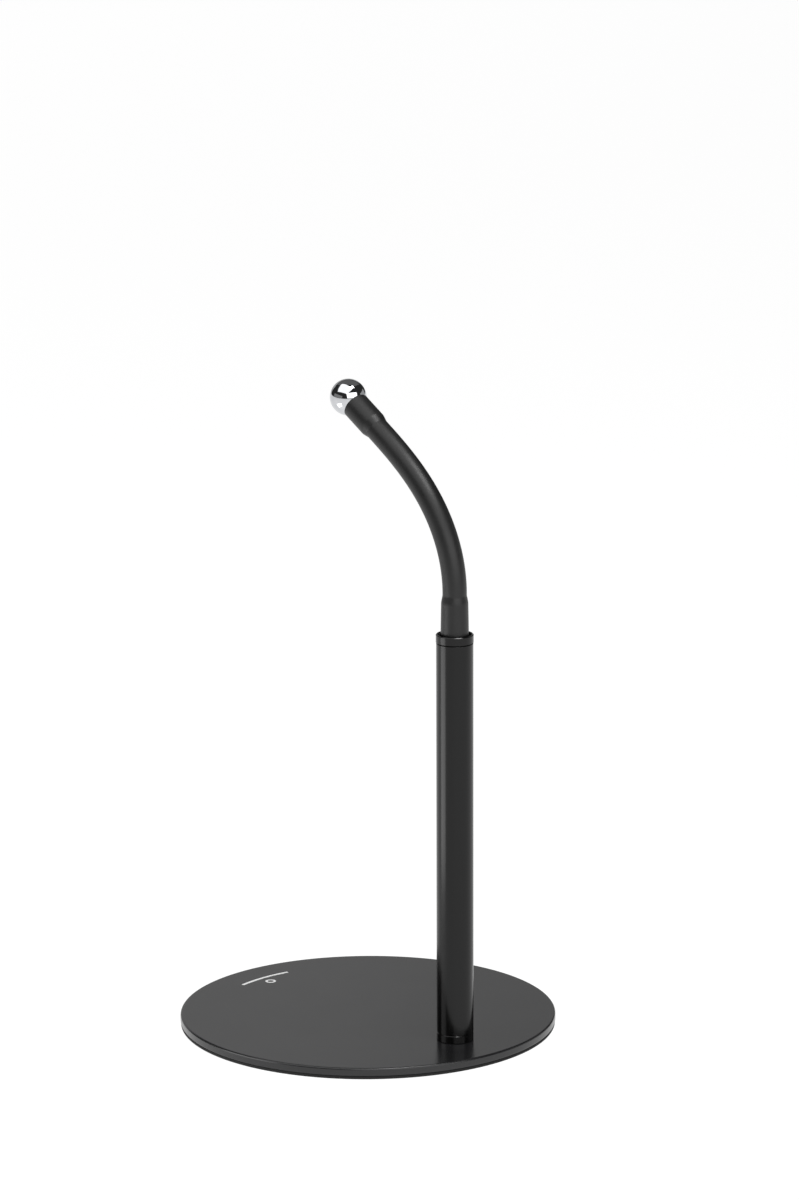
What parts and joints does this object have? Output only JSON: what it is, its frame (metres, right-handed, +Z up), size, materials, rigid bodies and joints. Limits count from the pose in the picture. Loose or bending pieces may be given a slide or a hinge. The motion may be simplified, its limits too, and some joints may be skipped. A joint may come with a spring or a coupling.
{
  "type": "gooseneck table stand",
  "caption": "Small table stand: a weighted round plate with an off-centre tube, a rubber-covered gooseneck and a polished ball at its tip.",
  "frame": {"origin": "centre of the foot pad's underside, on the table", "axes": "+Z up, -Y the side that the neck leans to, +Y the side on which the pole stands; YZ is the plane of symmetry"},
  "size_m": [0.176, 0.176, 0.3054],
  "materials": {
    "plate_powder_coat": "satin black powder coat on steel",
    "pole_coat": "satin black coat on steel",
    "pad_rubber": "matt black rubber sheet",
    "sleeve_rubber": "matt black rubber tube",
    "hose_steel": "wound steel wire, hidden in the sleeve",
    "zinc_steel": "zinc-plated steel",
    "ball_chrome": "polished chrome plate on steel"
  },
  "bodies": {
    "stand": {"base_plate": "plate_powder_coat", "foot_pad": "pad_rubber", "base_screw": "zinc_steel", "bottom_plug": "pole_coat", "pole_tube": "pole_coat", "top_collar": "pole_coat"},
    "neck_root": {"neck_lower_ferrule": "zinc_steel", "neck_sleeve_lower_end": "sleeve_rubber", "neck_hose_00": "hose_steel"},
    "neck_link_01": {"neck_hose_01": "hose_steel", "neck_sleeve_01": "sleeve_rubber"},
    "neck_link_02": {"neck_hose_02": "hose_steel", "neck_sleeve_02": "sleeve_rubber"},
    "neck_link_03": {"neck_hose_03": "hose_steel", "neck_sleeve_03": "sleeve_rubber"},
    "neck_link_04": {"neck_hose_04": "hose_steel", "neck_sleeve_04": "sleeve_rubber"},
    "neck_link_05": {"neck_hose_05": "hose_steel", "neck_sleeve_05": "sleeve_rubber"},
    "neck_link_06": {"neck_hose_06": "hose_steel", "neck_sleeve_06": "sleeve_rubber"},
    "neck_link_07": {"neck_hose_07": "hose_steel", "neck_sleeve_07": "sleeve_rubber"},
    "neck_link_08": {"neck_hose_08": "hose_steel", "neck_sleeve_08": "sleeve_rubber"},
    "neck_link_09": {"neck_hose_09": "hose_steel", "neck_sleeve_09": "sleeve_rubber"},
    "neck_link_10": {"neck_hose_10": "hose_steel", "neck_sleeve_10": "sleeve_rubber"},
    "neck_link_11": {"neck_hose_11": "hose_steel", "neck_sleeve_11": "sleeve_rubber"},
    "head": {"neck_hose_12": "hose_steel", "neck_sleeve_upper_end": "sleeve_rubber", "neck_upper_ferrule": "zinc_steel", "ball_stud": "zinc_steel", "ball": "ball_chrome"}
  },
  "joints": [
    {"name": "neck_turn", "type": "hinge", "parent": "stand", "child": "neck_root", "pos_m": [0, 0.06, 0.1977], "axis": [0, 0, 1], "continuous": true},
    {"name": "neck_bend_lower", "type": "hinge", "parent": "neck_root", "child": "neck_link_01", "pos_m": [0, 0.06, 0.22025], "axis": [1, 0, 0], "range_deg": [-7.87, 4.36]},
    {"name": "neck_bend_02", "type": "hinge", "parent": "neck_link_01", "child": "neck_link_02", "pos_m": [0, 0.05897, 0.22768], "axis": [1, 0, 0], "range_deg": [-7.57, 4.21]},
    {"name": "neck_bend_03", "type": "hinge", "parent": "neck_link_02", "child": "neck_link_03", "pos_m": [0, 0.05698, 0.23491], "axis": [1, 0, 0], "range_deg": [-7.17, 3.98]},
    {"name": "neck_bend_04", "type": "hinge", "parent": "neck_link_03", "child": "neck_link_04", "pos_m": [0, 0.0541, 0.24183], "axis": [1, 0, 0], "range_deg": [-6.69, 3.72]},
    {"name": "neck_bend_05", "type": "hinge", "parent": "neck_link_04", "child": "neck_link_05", "pos_m": [0, 0.05044, 0.24838], "axis": [1, 0, 0], "range_deg": [-6.14, 3.41]},
    {"name": "neck_bend_06", "type": "hinge", "parent": "neck_link_05", "child": "neck_link_06", "pos_m": [0, 0.0461, 0.2545], "axis": [1, 0, 0], "range_deg": [-5.54, 3.08]},
    {"name": "neck_bend_upper", "type": "hinge", "parent": "neck_link_06", "child": "neck_link_07", "pos_m": [0, 0.04119, 0.26017], "axis": [1, 0, 0], "range_deg": [-17.09, 7.37]},
    {"name": "neck_bend_08", "type": "hinge", "parent": "neck_link_07", "child": "neck_link_08", "pos_m": [0, 0.03581, 0.2654], "axis": [1, 0, 0], "range_deg": [-14.64, 6.32]},
    {"name": "neck_bend_09", "type": "hinge", "parent": "neck_link_08", "child": "neck_link_09", "pos_m": [0, 0.03008, 0.27023], "axis": [1, 0, 0], "range_deg": [-12, 5.18]},
    {"name": "neck_bend_10", "type": "hinge", "parent": "neck_link_09", "child": "neck_link_10", "pos_m": [0, 0.02406, 0.27471], "axis": [1, 0, 0], "range_deg": [-9.21, 3.98]},
    {"name": "neck_bend_11", "type": "hinge", "parent": "neck_link_10", "child": "neck_link_11", "pos_m": [0, 0.01785, 0.27891], "axis": [1, 0, 0], "range_deg": [-6.28, 2.72]},
    {"name": "neck_bend_12", "type": "hinge", "parent": "neck_link_11", "child": "head", "pos_m": [0, 0.01151, 0.28292], "axis": [1, 0, 0], "range_deg": [-3.22, 1.4]}
  ],
  "couplings": [
    {"joint": "neck_bend_02", "follows": "neck_bend_lower", "ratio": 0.96014},
    {"joint": "neck_bend_03", "follows": "neck_bend_lower", "ratio": 0.90853},
    {"joint": "neck_bend_04", "follows": "neck_bend_lower", "ratio": 0.8474},
    {"joint": "neck_bend_05", "follows": "neck_bend_lower", "ratio": 0.77807},
    {"joint": "neck_bend_06", "follows": "neck_bend_lower", "ratio": 0.70141},
    {"joint": "neck_bend_08", "follows": "neck_bend_upper", "ratio": 0.85514},
    {"joint": "neck_bend_09", "follows": "neck_bend_upper", "ratio": 0.70091},
    {"joint": "neck_bend_10", "follows": "neck_bend_upper", "ratio": 0.53786},
    {"joint": "neck_bend_11", "follows": "neck_bend_upper", "ratio": 0.36644},
    {"joint": "neck_bend_12", "follows": "neck_bend_upper", "ratio": 0.18704}
  ]
}
